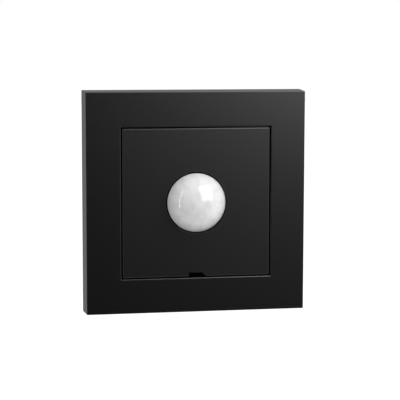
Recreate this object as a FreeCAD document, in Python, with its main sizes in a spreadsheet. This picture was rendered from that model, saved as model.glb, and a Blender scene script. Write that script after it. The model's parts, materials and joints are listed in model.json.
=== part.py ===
import FreeCAD, Part
import math
import os
import re
import Sketcher

# Flush-mounted motion sensor. X is right, Z is up, the wall is the plane Y = 0 and the front looks
# along -Y. "Forward" below is the distance in front of the wall, so it is -Y, and what lies inside
# the wall box has a negative one. All sizes are millimetres.

doc = FreeCAD.newDocument("motion_sensor")
sheet = doc.addObject("Spreadsheet::Sheet", "Sizes")

sizes = {
    # cover frame
    "frame_side": 81.0,
    "frame_depth": 10.0,
    "frame_front": 2.4,
    "frame_wall": 2.0,
    "frame_draft": 0.45,
    "opening_side": 55.6,
    "ledge_width": 1.8,
    "ledge_thick": 2.0,
    "collar_wall": 1.6,
    "rib_thick": 1.2,
    "rib_offset": 16.6,
    "rib_height": 3.6,
    "edge_round": 0.2,
    "rim_round": 0.35,
    # centre plate
    "plate_gap": 0.5,
    "plate_thick": 2.6,
    "ledge_gap": 0.3,
    "notch_left": 2.8,
    "notch_right": 3.5,
    "notch_height": 1.4,
    "notch_slant": 1.4,
    "tongue_inset": 1.7,
    "tongue_rise": 9.0,
    "tongue_width": 6.0,
    "tongue_thick": 1.3,
    "tongue_length": 4.4,
    "stake_offset": 1.3,
    "stake_radius": 0.8,
    # lens
    "lens_radius": 10.8,
    "lens_height": 8.0,
    "lens_wall": 0.7,
    "lens_gap": 0.5,
    "flange_lip": 1.8,
    "flange_thick": 1.0,
    "facet_depth": 0.25,
    "facet_width": 0.3,
    "facet_inner": 4.2,
    "facet_outer": 8.4,
    "retainer_thick": 0.8,
    "retainer_lip": 0.8,
    "ear_radius": 1.7,
    # sensor carrier and sensor board
    "head_gap": 0.6,
    "carrier_gap": 0.5,
    "carrier_wall": 1.5,
    "carrier_skin": 1.2,
    "window_radius": 10.0,
    "boss_height": 1.6,
    "boss_radius": 2.2,
    "boss_inset": 3.5,
    "leg_thick": 0.8,
    "leg_width": 4.4,
    "leg_rise": 9.3,
    "leg_hook": 0.9,
    "leg_gap": 0.1,
    "hook_thick": 1.2,
    "board_gap": 0.5,
    "board_head": 0.7,
    "board_head_radius": 1.9,
    "board_head_slot": 0.5,
    "board_thick": 1.6,
    "fit_gap": 0.3,
    "shaft_gap": 0.05,
    "can_radius": 4.6,
    "can_height": 3.6,
    "can_flange": 5.1,
    "can_rim": 0.4,
    "spacer_thick": 0.4,
    "can_round": 0.4,
    "filter_width": 4.0,
    "filter_height": 3.0,
    "filter_thick": 0.25,
    "filter_seat": 0.3,
    "lead_radius": 0.25,
    "lead_circle": 2.54,
    "diode_radius": 1.5,
    "diode_reach": 7.6,
    "diode_height": 3.6,
    "diode_collar": 0.9,
    "diode_rim": 0.35,
    "control_left": 9.15,
    "control_rise": 12.15,
    "control_length": 8.7,
    "control_width": 3.9,
    "control_height": 1.3,
    "control_lift": 0.1,
    "lead_pitch": 1.27,
    "lead_reach": 1.0,
    "lead_side": 0.4,
    "chip_column": 12.0,
    "chip_row": 4.4,
    "chip_pitch": 3.2,
    "chip_length": 2.0,
    "chip_width": 1.2,
    "chip_height": 0.7,
    # trimmers and mode switch
    "trimmer_side": 6.5,
    "trimmer_height": 1.5,
    "trimmer_pitch": 11.0,
    "trimmer_gap": 0.35,
    "dial_radius": 2.6,
    "dial_thick": 0.8,
    "dial_shaft": 0.9,
    "dial_slot": 0.7,
    "dial_slot_deep": 0.5,
    "dial_lift": 0.1,
    "bore_floor": 0.4,
    "switch_gap": 1.1,
    "switch_length": 9.0,
    "switch_width": 4.0,
    "switch_height": 2.2,
    "switch_wall": 0.7,
    "switch_travel": 1.5,
    "slider_stem": 1.4,
    "slider_proud": 1.0,
    # support ring
    "ring_margin": 3.0,
    "ring_thick": 1.0,
    "ring_corner": 9.0,
    "ring_seat": 0.8,
    "box_pitch": 60.0,
    "box_hole": 2.2,
    "screw_inset": 2.4,
    "screw_radius": 1.2,
    "screw_head": 2.1,
    "screw_length": 8.0,
    "head_height": 1.4,
    # claws
    "claw_screw_gap": 2.8,
    "claw_screw_radius": 1.5,
    "claw_head_radius": 2.7,
    "claw_collar_radius": 2.3,
    "claw_gap": 1.0,
    "claw_thick": 1.0,
    "claw_width": 8.0,
    "claw_short": 3.0,
    "claw_tooth": 1.0,
    # insert housing
    "housing_radius": 26.0,
    "housing_wall": 1.5,
    "housing_floor": 1.6,
    "groove_deep": 4.4,
    "groove_width": 10.0,
    "lid_thick": 1.0,
    "lid_trim": 1.2,
    "lid_gap": 0.2,
    # power board and what it carries
    "power_gap": 0.3,
    "power_thick": 1.6,
    "solder_gap": 1.6,
    "relay_length": 20.0,
    "relay_width": 10.5,
    "relay_gap": 0.6,
    "relay_height": 15.2,
    "relay_drop": 4.0,
    "film_length": 13.0,
    "film_width": 6.0,
    "film_height": 12.0,
    "film_left": 8.5,
    "film_drop": 7.0,
    "can_capacitor_radius": 4.0,
    "can_capacitor_height": 12.0,
    "can_capacitor_right": 8.2,
    "can_capacitor_drop": 8.0,
    "choke_radius": 4.0,
    "choke_height": 10.0,
    "choke_left": 8.4,
    "choke_drop": 14.9,
    "choke_rim": 1.0,
    "choke_waist": 0.6,
    "fuse_radius": 4.0,
    "fuse_height": 8.0,
    "fuse_right": 3.6,
    "fuse_drop": 16.4,
    "varistor_radius": 4.5,
    "varistor_thick": 3.5,
    "varistor_right": 15.6,
    "varistor_drop": 4.0,
    "varistor_lift": 0.6,
    "rectifier_left": 13.1,
    "rectifier_rise": 1.9,
    "rectifier_length": 6.5,
    "rectifier_width": 3.4,
    "rectifier_height": 2.4,
    "power_chip_row": 16.9,
    "power_chip_column": 12.1,
    "power_chip_height": 0.9,
    "link_length": 15.2,
    "link_width": 2.5,
    "link_strip": 1.6,
    "socket_height": 9.0,
    "socket_width": 5.0,
    "pin_pitch": 2.54,
    "pin_side": 0.64,
    # terminal block
    "terminal_pitch": 8.0,
    "chamber_width": 6.4,
    "chamber_depth": 9.2,
    "chamber_top": 8.6,
    "chamber_bottom": 18.2,
    "block_width": 36.0,
    "block_wall": 1.8,
    "wire_side": 3.6,
    "cage_side": 5.8,
    "cage_wall": 1.0,
    "cage_front": 1.7,
    "cage_travel": 1.4,
    "bar_width": 3.0,
    "bar_thick": 0.8,
    "bar_front": 5.0,
    "bar_room": 0.6,
    "terminal_screw": 1.5,
    "terminal_head": 2.2,
    "peg_radius": 1.0,
    "peg_reach": 16.6,
}

for row, (alias, value) in enumerate(sizes.items(), 1):
    sheet.set(f"A{row}", alias)
    sheet.set(f"B{row}", str(value))
    sheet.setAlias(f"B{row}", alias)
doc.recompute()

# What follows from those sizes. Names that end in front, back, inside or centre are forward distances.
derived = {
    "frame_rear": "frame_side + 2 * frame_draft",
    "frame_inside": "frame_side - 2 * frame_wall",
    "collar_side": "opening_side + 2 * collar_wall",
    "skin_back": "frame_depth - frame_front",
    "plate_side": "opening_side - 2 * plate_gap",
    "plate_back": "frame_depth - plate_thick",
    "ledge_front": "plate_back - ledge_gap",
    "ledge_back": "ledge_front - ledge_thick",
    "flange_back": "plate_back - flange_thick",
    "flange_radius": "lens_radius + flange_lip",
    "retainer_back": "flange_back - retainer_thick",
    "retainer_radius": "flange_radius + retainer_lip",
    "stake_circle": "retainer_radius + stake_offset",
    "lens_bore": "lens_radius - lens_wall",
    # the lens is part of a sphere that meets the plate's front at lens_radius
    "sphere_radius": "(lens_radius^2 + lens_height^2) / (2 * lens_height)",
    "sphere_centre": "frame_depth + lens_height - sphere_radius",
    "inner_sphere": "sphere_radius - lens_wall",
    "claw_reach": "housing_radius + claw_gap",
    "claw_middle": "claw_reach + claw_thick / 2",
    "claw_screw_reach": "claw_reach - claw_screw_gap",
    "carrier_side": "2 * (claw_screw_reach - claw_head_radius - carrier_gap)",
    "carrier_front": "retainer_back - head_gap",
    "carrier_inside": "carrier_front - carrier_skin",
    "carrier_hollow": "carrier_side - 2 * carrier_wall",
    "board_front": "carrier_inside - boss_height",
    "board_back": "board_front - board_thick",
    "can_base": "board_front + spacer_thick",
    "can_front": "can_base + can_rim + can_height",
    "board_side": "carrier_hollow - 2 * board_gap",
    "boss_reach": "board_side / 2 - boss_inset",
    "tongue_reach": "carrier_hollow / 2 - tongue_inset",
    "trimmer_front": "board_front + trimmer_height",
    "trimmer_drop": "carrier_hollow / 2 - trimmer_side / 2 - trimmer_gap",
    "switch_rise": "carrier_hollow / 2 - switch_width / 2 - switch_gap",
    "ring_side": "frame_side - 2 * frame_wall - 2 * ring_margin",
    "ring_opening": "carrier_side - 2 * ring_seat",
    "leg_front": "ring_opening / 2 - leg_gap",
    "hook_back": "-(leg_gap + hook_thick)",
    "lid_front": "board_back - board_head - fit_gap",
    "lid_back": "lid_front - lid_thick",
    "power_front": "lid_back - relay_gap - relay_height",
    "power_back": "power_front - power_thick",
    "floor_inside": "power_back - solder_gap",
    "block_front": "floor_inside - housing_floor",
    "housing_depth": "-block_front",
    "housing_inside": "housing_radius - housing_wall",
    "power_radius": "housing_inside - power_gap",
    "lid_side": "ring_opening - 2 * lid_trim",
    "screw_rise": "housing_radius - screw_inset",
    "claw_length": "housing_depth - claw_short",
    "groove_reach": "housing_radius - groove_deep",
    "groove_wall": "groove_reach - housing_wall",
    "terminal_drop": "(chamber_bottom + chamber_top + bar_room) / 2",
}

pieces = []


def spell_out(text, prefix):
    # Names all hold an underscore, which tells them from functions. A derived one gives its formula.
    def one(found):
        name = found.group(0)
        return f"({spell_out(derived[name], prefix)})" if name in derived else prefix + name

    return re.sub(r"[a-z]+(?:_[a-z]+)+", one, text)


def number(text):
    result = sheet.evalExpression(spell_out(text, ""))
    return float(getattr(result, "Value", result))


def bind(item, slot, text):
    item.setExpression(slot, spell_out(text, "Sizes."))


def new_body(label):
    body = doc.addObject("PartDesign::Body", label)
    body.Label = label
    pieces.append(body)
    return body


def place(body, across, forward, up):
    bind(body, "Placement.Base.x", across)
    bind(body, "Placement.Base.y", f"-({forward})")
    bind(body, "Placement.Base.z", up)


def new_sketch(body, name, role, offset):
    sketch = body.newObject("Sketcher::SketchObject", name)
    plane = next(item for item in body.Origin.OriginFeatures if item.Role == role)
    sketch.AttachmentSupport = [(plane, "")]
    sketch.MapMode = "FlatFace"
    bind(sketch, "AttachmentOffset.Base.z", offset)
    return sketch


def fix_point(sketch, edge, end, across, up):
    for kind, text in (("DistanceX", across), ("DistanceY", up)):
        constraint = Sketcher.Constraint(kind, -1, 1, edge, end, number(text))
        index = sketch.addConstraint(constraint)
        bind(sketch, f"Constraints[{index}]", text)


def draw_disc(sketch, across, up, radius):
    centre = FreeCAD.Vector(number(across), number(up), 0)
    circle = Part.Circle(centre, FreeCAD.Vector(0, 0, 1), number(radius))
    edge = sketch.addGeometry(circle)
    fix_point(sketch, edge, 3, across, up)
    index = sketch.addConstraint(Sketcher.Constraint("Radius", edge, number(radius)))
    bind(sketch, f"Constraints[{index}]", radius)


def draw_outline(sketch, points):
    # A point marked "arc" starts an arc about the sketch's vertical axis, up to the next point.
    places = [(number(point[0]), number(point[1])) for point in points]
    ends = []
    for index, point in enumerate(points):
        (x0, y0), (x1, y1) = places[index], places[(index + 1) % len(places)]
        if len(point) == 2:
            line = Part.LineSegment(FreeCAD.Vector(x0, y0, 0), FreeCAD.Vector(x1, y1, 0))
            ends.append((sketch.addGeometry(line), 1, 2))
            continue
        middle = (x1**2 + y1**2 - x0**2 - y0**2) / (2 * (y1 - y0))
        circle = Part.Circle(
            FreeCAD.Vector(0, middle, 0), FreeCAD.Vector(0, 0, 1), math.hypot(x0, y0 - middle)
        )
        start, stop = math.atan2(y0 - middle, x0), math.atan2(y1 - middle, x1)
        if start < stop:
            ends.append((sketch.addGeometry(Part.ArcOfCircle(circle, start, stop)), 1, 2))
        else:
            ends.append((sketch.addGeometry(Part.ArcOfCircle(circle, stop, start)), 2, 1))
        sketch.addConstraint(Sketcher.Constraint("PointOnObject", ends[-1][0], 3, -2))
    for index, point in enumerate(points):
        edge, start, stop = ends[index]
        following = ends[(index + 1) % len(ends)]
        sketch.addConstraint(
            Sketcher.Constraint("Coincident", edge, stop, following[0], following[1])
        )
        fix_point(sketch, edge, start, point[0], point[1])


def box_outline(left, right, bottom, top):
    return [(left, bottom), (right, bottom), (right, top), (left, top)]


def square(side):
    half = f"{side} / 2"
    return box_outline(f"-{half}", half, f"-{half}", half)


def draw(sketch, outlines):
    for outline in outlines:
        if isinstance(outline, tuple):
            draw_disc(sketch, *outline)
        else:
            draw_outline(sketch, outline)


def pad(body, name, start, length, outlines, role="XZ_Plane"):
    sketch = new_sketch(body, name + "_outline", role, start)
    draw(sketch, outlines)
    feature = body.newObject("PartDesign::Pad", name)
    feature.Profile = sketch
    bind(feature, "Length", length)
    doc.recompute()
    return feature


def cut(body, name, start, length, outlines, role="XZ_Plane"):
    # A pocket runs from its sketch towards the rear, or downwards from the level plane.
    before = body.Shape.Volume
    sketch = new_sketch(body, name + "_outline", role, start)
    draw(sketch, outlines)
    feature = body.newObject("PartDesign::Pocket", name)
    feature.Profile = sketch
    bind(feature, "Length", length)
    doc.recompute()
    if body.Shape.Volume > before - 1e-6:
        raise ValueError(f"{body.Label}: {name} cuts nothing")
    return feature


def turn(body, name, points):
    # The outline's first number is the distance from the body's own Y axis, the second is Y.
    sketch = new_sketch(body, name + "_outline", "XY_Plane", "0")
    draw_outline(sketch, points)
    feature = body.newObject("PartDesign::Revolution", name)
    feature.Profile = sketch
    feature.ReferenceAxis = (sketch, ["V_Axis"])
    feature.Angle = 360
    doc.recompute()
    return feature


def soften(body, name, radius, wanted):
    base = body.Tip
    names = [f"Edge{n}" for n, edge in enumerate(base.Shape.Edges, 1) if wanted(edge)]
    feature = body.newObject("PartDesign::Fillet", name)
    feature.Base = (base, names)
    bind(feature, "Radius", radius)
    doc.recompute()
    return feature


def lies_forward(edge, forward):
    return all(abs(v.Point.y + number(forward)) < 1e-6 for v in edge.Vertexes)


def build_cover_frame():
    body = new_body("cover_frame")
    shell = pad(body, "shell", "0", "frame_depth", [square("frame_rear")])
    bind(shell, "TaperAngle", "-atan(frame_draft / frame_depth)")
    doc.recompute()
    cut(body, "hollow", "skin_back", "skin_back", [square("frame_inside")])
    pad(body, "collar", "ledge_back", "skin_back - ledge_back", [square("collar_side")])
    ribs = []
    for side in ("-1", "1"):
        near, far = f"{side} * collar_side / 2", f"{side} * frame_inside / 2"
        for middle in ("-rib_offset", "rib_offset"):
            low, high = f"{middle} - rib_thick / 2", f"{middle} + rib_thick / 2"
            ribs.append(box_outline(low, high, near, far))
            ribs.append(box_outline(near, far, low, high))
    pad(body, "ribs", "skin_back - rib_height", "rib_height", ribs)
    cut(body, "recess", "frame_depth", "frame_depth - ledge_front", [square("opening_side")])
    window = "(opening_side - 2 * ledge_width)"
    cut(body, "window", "ledge_front", "ledge_thick", [square(window)])
    reach, opening = number("frame_side / 2"), number("opening_side / 2")
    soften(
        body,
        "edges",
        "edge_round",
        lambda edge: not lies_forward(edge, "0")
        and all(min(abs(v.X), abs(v.Z)) > reach - 1e-6 for v in edge.Vertexes),
    )
    soften(
        body,
        "rim",
        "rim_round",
        lambda edge: lies_forward(edge, "frame_depth")
        and all(max(abs(v.X), abs(v.Z)) < opening + 1e-6 for v in edge.Vertexes),
    )


def build_centre_plate():
    body = new_body("centre_plate")
    pad(body, "sheet", "plate_back", "plate_thick", [square("plate_side")])
    soften(body, "edges", "rim_round", lambda edge: lies_forward(edge, "frame_depth"))
    bottom = "-plate_side / 2"
    notch = [
        ("-notch_left", f"{bottom} - plate_gap"),
        ("notch_right", f"{bottom} - plate_gap"),
        ("notch_right", bottom),
        ("notch_right - notch_slant", f"{bottom} + notch_height"),
        ("-notch_left", f"{bottom} + notch_height"),
    ]
    cut(body, "notch", "frame_depth", "plate_thick", [notch])
    cut(body, "hole", "frame_depth", "plate_thick", [("0", "0", "lens_radius + lens_gap")])
    reach = number("lens_radius + lens_gap")
    soften(
        body,
        "lip",
        "edge_round",
        lambda edge: lies_forward(edge, "frame_depth")
        and all(math.hypot(v.X, v.Z) < reach + 1e-6 for v in edge.Vertexes),
    )
    tongues = []
    for across in ("-1", "1"):
        for up in ("-1", "1"):
            x, z = f"{across} * tongue_reach", f"{up} * tongue_rise"
            tongues.append(
                box_outline(
                    f"{x} - tongue_thick / 2",
                    f"{x} + tongue_thick / 2",
                    f"{z} - tongue_width / 2",
                    f"{z} + tongue_width / 2",
                )
            )
    pad(body, "tongues", "plate_back - tongue_length", "tongue_length", tongues)
    stakes = [(x, z, "stake_radius") for x, z in stake_places()]
    pad(body, "stakes", "retainer_back", "plate_back - retainer_back", stakes)


def stake_places():
    # Three stakes round the lens, a third of a turn apart, the first straight up.
    for third in range(3):
        angle = 120 * third
        yield f"stake_circle * sin({angle})", f"stake_circle * cos({angle})"


def build_lens():
    body = new_body("lens")
    turn(
        body,
        "dome",
        [
            ("0", "-(frame_depth + lens_height)", "arc"),
            ("lens_radius", "-frame_depth"),
            ("lens_radius", "-plate_back"),
            ("flange_radius", "-plate_back"),
            ("flange_radius", "-flange_back"),
            ("lens_bore", "-flange_back"),
            ("lens_bore", "-(sphere_centre + sqrt(inner_sphere^2 - lens_bore^2))", "arc"),
            ("0", "-(frame_depth + lens_height - lens_wall)"),
        ],
    )
    cut_facets(body)


def cut_facets(body):
    # Shallow grooves on the inside divide the dome into a centre, a middle ring and twelve rays.
    def groove(name, near, far, angle):
        sketch = new_sketch(body, name + "_outline", "XY_Plane", "0")
        void, deep = "(inner_sphere - facet_depth)", "(inner_sphere + facet_depth)"
        points = [
            (near, f"-(sphere_centre + sqrt({void}^2 - ({near})^2))", "arc"),
            (far, f"-(sphere_centre + sqrt({void}^2 - ({far})^2))"),
            (far, f"-(sphere_centre + sqrt({deep}^2 - ({far})^2))", "arc"),
            (near, f"-(sphere_centre + sqrt({deep}^2 - ({near})^2))"),
        ]
        draw_outline(sketch, points)
        feature = body.newObject("PartDesign::Groove", name)
        feature.Profile = sketch
        feature.ReferenceAxis = (sketch, ["V_Axis"])
        feature.Angle = angle
        doc.recompute()
        return feature

    before = body.Shape.Volume
    groove("inner_ring", "facet_inner", "facet_inner + facet_width", 360)
    groove("outer_ring", "facet_outer", "facet_outer + facet_width", 360)
    ray = groove("ray", "facet_inner + facet_width / 2", "facet_outer + facet_width / 2", 2.5)
    rays = body.newObject("PartDesign::PolarPattern", "rays")
    rays.Originals = [ray]
    rays.Axis = (ray.Profile[0], ["V_Axis"])
    rays.Angle = 360
    rays.Occurrences = 12
    body.Tip = rays
    doc.recompute()
    if body.Shape.Volume > before - 1e-6:
        raise ValueError("lens: the facets cut nothing")


def build_lens_retainer():
    body = new_body("lens_retainer")
    pad(body, "ring", "retainer_back", "retainer_thick", [("0", "0", "retainer_radius")])
    for index, (x, z) in enumerate(stake_places()):
        pad(body, f"ear_{index}", "retainer_back", "retainer_thick", [(x, z, "ear_radius")])
    holes = [(x, z, "stake_radius") for x, z in stake_places()]
    holes.append(("0", "0", "lens_bore"))
    cut(body, "holes", "flange_back", "retainer_thick", holes)


def build_sensor_carrier():
    body = new_body("sensor_carrier")
    pad(body, "tray", "ring_thick", "carrier_front - ring_thick", [square("carrier_side")])
    cut(body, "hollow", "carrier_inside", "carrier_inside - ring_thick", [square("carrier_hollow")])
    windows = [("0", "0", "window_radius")]
    for x in trimmer_places():
        windows.append((x, "-trimmer_drop", "dial_radius + fit_gap"))
    half, rise = "(switch_length / 2 + fit_gap)", "(switch_width / 2 + fit_gap)"
    windows.append(
        box_outline(f"-{half}", half, f"switch_rise - {rise}", f"switch_rise + {rise}")
    )
    slot_half = "(tongue_thick / 2 + fit_gap)"
    slot_rise = "(tongue_width / 2 + fit_gap)"
    for across in ("-1", "1"):
        for up in ("-1", "1"):
            x, z = f"{across} * tongue_reach", f"{up} * tongue_rise"
            windows.append(
                box_outline(
                    f"{x} - {slot_half}", f"{x} + {slot_half}", f"{z} - {slot_rise}", f"{z} + {slot_rise}"
                )
            )
    cut(body, "windows", "carrier_front", "carrier_skin", windows)
    bosses = [(f"{side} * boss_reach", "0", "boss_radius") for side in ("-1", "1")]
    pad(body, "bosses", "board_front", "boss_height", bosses)
    bores = [(f"{side} * boss_reach", "0", "screw_radius") for side in ("-1", "1")]
    cut(body, "bores", "carrier_inside", "boss_height", bores)
    # Two legs each side pass the ring's opening and hook behind the ring.
    for side, name in (("-1", "left"), ("1", "right")):
        near = f"{side} * (leg_front - leg_thick)"
        legs, hooks = [], []
        for up in ("-1", "1"):
            low, high = f"{up} * leg_rise - leg_width / 2", f"{up} * leg_rise + leg_width / 2"
            legs.append(box_outline(near, f"{side} * leg_front", low, high))
            hooks.append(box_outline(near, f"{side} * (ring_opening / 2 + leg_hook)", low, high))
        pad(body, f"legs_{name}", "hook_back", "carrier_inside - hook_back", legs)
        pad(body, f"hooks_{name}", "hook_back", "hook_thick", hooks)


def trimmer_places():
    return ["-trimmer_pitch", "0", "trimmer_pitch"]


def build_sensor_board():
    body = new_body("sensor_board")
    pad(body, "sheet", "board_back", "board_thick", [square("board_side")])
    bores = [(f"{side} * boss_reach", "0", "screw_radius + fit_gap") for side in ("-1", "1")]
    bores += [(x, z, "lead_radius + shaft_gap") for x, z in lead_places()]
    cut(body, "holes", "board_front", "board_thick", bores)


def build_board_screws():
    body = new_body("board_screws")
    heads = [(f"{side} * boss_reach", "0", "board_head_radius") for side in ("-1", "1")]
    shanks = [(f"{side} * boss_reach", "0", "screw_radius - shaft_gap") for side in ("-1", "1")]
    pad(body, "heads", "board_back - board_head", "board_head", heads)
    pad(body, "shanks", "board_back", "carrier_inside - board_back - shaft_gap", shanks)
    slots = []
    for side in ("-1", "1"):
        x = f"{side} * boss_reach"
        reach, half = "board_head_radius * 0.7", "board_head_slot / 2"
        slots.append(box_outline(f"{x} - {reach}", f"{x} + {reach}", f"-{half}", half))
    cut(body, "slots", "board_back - board_head / 2", "board_head", slots)


def build_detector():
    # The pyroelectric sensor: a metal can with a filter window, on a spacer, with three leads.
    spacer = new_body("sensor_spacer")
    pad(spacer, "disc", "board_front", "spacer_thick", [("0", "0", "can_flange")])
    holes = [(x, z, "lead_radius + shaft_gap") for x, z in lead_places()]
    cut(spacer, "holes", "board_front + spacer_thick", "spacer_thick", holes)

    can = new_body("sensor_can")
    pad(can, "flange", "can_base", "can_rim", [("0", "0", "can_flange")])
    pad(can, "cup", "can_base + can_rim", "can_height", [("0", "0", "can_radius")])
    soften(can, "shoulder", "can_round", lambda edge: lies_forward(edge, "can_front"))
    half, rise = "filter_width / 2", "filter_height / 2"
    opening = box_outline(f"-{half}", half, f"-{rise}", rise)
    cut(can, "window_seat", "can_front", "filter_seat", [opening])

    window = new_body("sensor_window")
    pad(window, "filter", "can_front - filter_seat", "filter_thick", [opening])

    leads = new_body("sensor_leads")
    wires = [(x, z, "lead_radius") for x, z in lead_places()]
    pad(leads, "wires", "board_back", "can_base - board_back", wires)


def lead_places():
    for angle in (0, 120, 240):
        yield f"lead_circle * sin({angle})", f"lead_circle * cos({angle})"


def build_diode(label, across):
    body = new_body(label)
    place(body, across, "board_front", "0")
    turn(
        body,
        "bulb",
        [
            ("0", "-(diode_height + diode_radius)", "arc"),
            ("diode_radius", "-diode_height"),
            ("diode_radius", "-diode_collar"),
            ("diode_radius + diode_rim", "-diode_collar"),
            ("diode_radius + diode_rim", "0"),
            ("0", "0"),
        ],
    )


def build_control_chip():
    body = new_body("control_chip")
    place(body, "-control_left", "board_front", "control_rise")
    half, rise = "control_length / 2", "control_width / 2"
    package = box_outline(f"-{half}", half, f"-{rise}", rise)
    pad(body, "package", "control_lift", "control_height", [package])
    legs = []
    for index in range(7):
        left = f"({index} - 3) * lead_pitch - lead_side / 2"
        for side in ("-1", "1"):
            near, far = f"{side} * ({rise} - lead_side)", f"{side} * ({rise} + lead_reach)"
            legs.append(box_outline(left, f"{left} + lead_side", near, far))
    pad(body, "legs", "0", "2 * control_lift", legs)


def build_chip_parts():
    body = new_body("chip_parts")
    chips = []
    for x in ("-chip_column", "chip_column"):
        for z in ("-chip_row - chip_pitch", "-chip_row", "chip_row", "chip_row + chip_pitch"):
            chips.append(
                box_outline(
                    f"{x} - chip_length / 2",
                    f"{x} + chip_length / 2",
                    f"{z} - chip_width / 2",
                    f"{z} + chip_width / 2",
                )
            )
    pad(body, "chips", "board_front", "chip_height", chips)


def build_trimmers():
    bodies = new_body("trimmer_bodies")
    half = "trimmer_side / 2"
    blocks, bores = [], []
    low, high = f"-trimmer_drop - {half}", f"-trimmer_drop + {half}"
    for x in trimmer_places():
        blocks.append(box_outline(f"{x} - {half}", f"{x} + {half}", low, high))
        bores.append((x, "-trimmer_drop", "dial_shaft + shaft_gap"))
    pad(bodies, "blocks", "board_front", "trimmer_height", blocks)
    cut(bodies, "bores", "trimmer_front", "trimmer_height - bore_floor", bores)
    for label, x in zip(("time_dial", "light_dial", "range_dial"), trimmer_places()):
        build_dial(label, x)


def build_dial(label, across):
    body = new_body(label)
    place(body, across, "trimmer_front + dial_lift", "-trimmer_drop")
    pad(body, "disc", "0", "dial_thick", [("0", "0", "dial_radius")])
    shaft = "(trimmer_height - 2 * bore_floor)"
    pad(body, "shaft", f"-{shaft}", shaft, [("0", "0", "dial_shaft")])
    slot = box_outline("-dial_radius * 0.6", "dial_radius * 0.6", "-dial_slot / 2", "dial_slot / 2")
    cut(body, "slot", "dial_thick", "dial_slot_deep", [slot])
    low, half = "dial_radius * 0.66", "dial_radius * 0.2"
    pointer = [(f"-{half}", low), (half, low), ("0", "dial_radius * 0.95")]
    cut(body, "pointer", "dial_thick", "dial_slot_deep / 2", [pointer])


def build_mode_switch():
    body = new_body("switch_body")
    place(body, "0", "board_front", "switch_rise")
    outer = box_outline("-switch_length / 2", "switch_length / 2", "-switch_width / 2", "switch_width / 2")
    half, rise = "(switch_length / 2 - switch_wall)", "(switch_width / 2 - switch_wall)"
    pad(body, "case", "0", "switch_height", [outer])
    cavity = box_outline(f"-{half}", half, f"-{rise}", rise)
    cut(body, "cavity", "switch_height - 0.5", "switch_height - 1", [cavity])
    reach = "(slider_stem / 2 + switch_travel + fit_gap)"
    gap = "(slider_stem / 2 + 0.2)"
    slot = box_outline(f"-{reach}", reach, f"-{gap}", gap)
    cut(body, "slot", "switch_height", "0.6", [slot])

    slider = new_body("mode_slider")
    place(slider, "0", "board_front", "switch_rise")
    shoe_half = f"({half} - switch_travel - 0.2)"
    shoe_rise = f"({rise} - 0.15)"
    shoe = box_outline(f"-{shoe_half}", shoe_half, f"-{shoe_rise}", shoe_rise)
    pad(slider, "shoe", "0.65", "switch_height - 1.3", [shoe])
    stem = box_outline("-slider_stem / 2", "slider_stem / 2", "-slider_stem / 2", "slider_stem / 2")
    pad(slider, "stem", "0.65", "switch_height + slider_proud - 0.65", [stem])


def build_support_ring():
    body = new_body("support_ring")
    half, near = "ring_side / 2", "(ring_side / 2 - ring_corner)"
    outline = [
        (f"-{half}", f"-{near}"),
        (f"-{near}", f"-{half}"),
        (near, f"-{half}"),
        (half, f"-{near}"),
        (half, near),
        (near, half),
        (f"-{near}", half),
        (f"-{half}", near),
    ]
    pad(body, "plate", "0", "ring_thick", [outline])
    holes = [square("ring_opening")]
    for side in ("-1", "1"):
        holes.append(("0", f"{side} * box_pitch / 2", "box_hole"))
        holes.append(("0", f"{side} * screw_rise", "screw_radius + fit_gap / 2"))
        holes.append((f"{side} * claw_screw_reach", "0", "claw_screw_radius + fit_gap / 2"))
        tab = f"{side} * claw_middle"
        gap = "(claw_thick / 2 + fit_gap + 0.2)"
        rise = "(claw_width / 4 + fit_gap)"
        holes.append(box_outline(f"{tab} - {gap}", f"{tab} + {gap}", f"-{rise}", rise))
    cut(body, "holes", "ring_thick", "ring_thick", holes)


def build_ring_screws():
    body = new_body("ring_screws")
    heads = [("0", f"{side} * screw_rise", "screw_head") for side in ("-1", "1")]
    shanks = [("0", f"{side} * screw_rise", "screw_radius") for side in ("-1", "1")]
    pad(body, "heads", "ring_thick", "head_height", heads)
    pad(body, "shanks", "ring_thick - screw_length", "screw_length", shanks)
    slots = []
    for side in ("-1", "1"):
        z = f"{side} * screw_rise"
        slots.append(box_outline("-screw_head * 0.75", "screw_head * 0.75", f"{z} - 0.3", f"{z} + 0.3"))
        slots.append(
            box_outline("-0.3", "0.3", f"{z} - screw_head * 0.75", f"{z} - 0.3")
        )
        slots.append(
            box_outline("-0.3", "0.3", f"{z} + 0.3", f"{z} + screw_head * 0.75")
        )
    cut(body, "slots", "ring_thick + head_height", "0.8", slots)


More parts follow.
